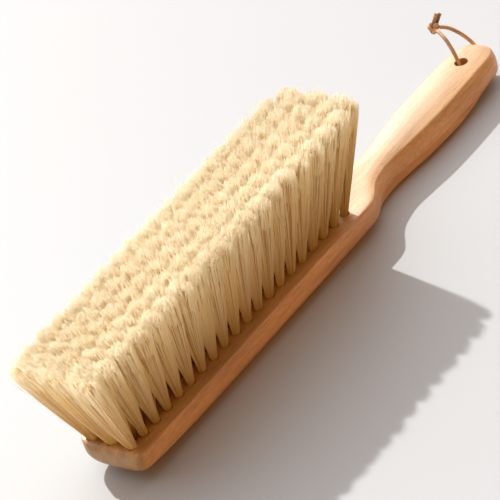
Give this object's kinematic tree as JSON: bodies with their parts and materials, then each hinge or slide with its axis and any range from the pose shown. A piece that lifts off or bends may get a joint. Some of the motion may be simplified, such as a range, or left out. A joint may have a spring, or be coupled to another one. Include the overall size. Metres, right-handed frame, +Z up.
{
  "type": "bench brush",
  "caption": "Wooden bench brush lying on its back: one-piece beech block and shaped handle, fanned natural-fibre tufts, and a knotted leather hanging thong.",
  "frame": {"origin": "on the flat of the back, under the middle of the field of tufts", "axes": "+X along the brush from the toe to the handle, +Z up out of the bristle face, +Y to the side the thong falls to"},
  "size_m": [0.3578, 0.053, 0.0773],
  "materials": {
    "beech": "fine sanded, thin satin oil",
    "fibre": "pale plant fibre, slightly glossy",
    "anchor_wire": "bare drawn wire",
    "thong_leather": "tan round lace, dull"
  },
  "bodies": {
    "root": {"stock": "beech", "tufts_rank_01": "fibre", "tufts_rank_02": "fibre", "tufts_rank_03": "fibre", "tufts_rank_04": "fibre", "tufts_rank_05": "fibre", "tufts_rank_06": "fibre", "tufts_rank_07": "fibre", "tufts_rank_08": "fibre", "tufts_rank_09": "fibre", "tufts_rank_10": "fibre", "tufts_rank_11": "fibre", "tufts_rank_12": "fibre", "tufts_rank_13": "fibre", "tufts_rank_14": "fibre", "tufts_rank_15": "fibre", "tufts_rank_16": "fibre", "tufts_rank_17": "fibre", "tufts_rank_18": "fibre", "tufts_rank_19": "fibre", "tufts_rank_20": "fibre", "anchors_rank_01": "anchor_wire", "anchors_rank_02": "anchor_wire", "anchors_rank_03": "anchor_wire", "anchors_rank_04": "anchor_wire", "anchors_rank_05": "anchor_wire", "anchors_rank_06": "anchor_wire", "anchors_rank_07": "anchor_wire", "anchors_rank_08": "anchor_wire", "anchors_rank_09": "anchor_wire", "anchors_rank_10": "anchor_wire", "anchors_rank_11": "anchor_wire", "anchors_rank_12": "anchor_wire", "anchors_rank_13": "anchor_wire", "anchors_rank_14": "anchor_wire", "anchors_rank_15": "anchor_wire", "anchors_rank_16": "anchor_wire", "anchors_rank_17": "anchor_wire", "anchors_rank_18": "anchor_wire", "anchors_rank_19": "anchor_wire", "anchors_rank_20": "anchor_wire", "thong": "thong_leather", "thong_knot": "thong_leather", "thong_tails": "thong_leather"}
  },
  "joints": []
}
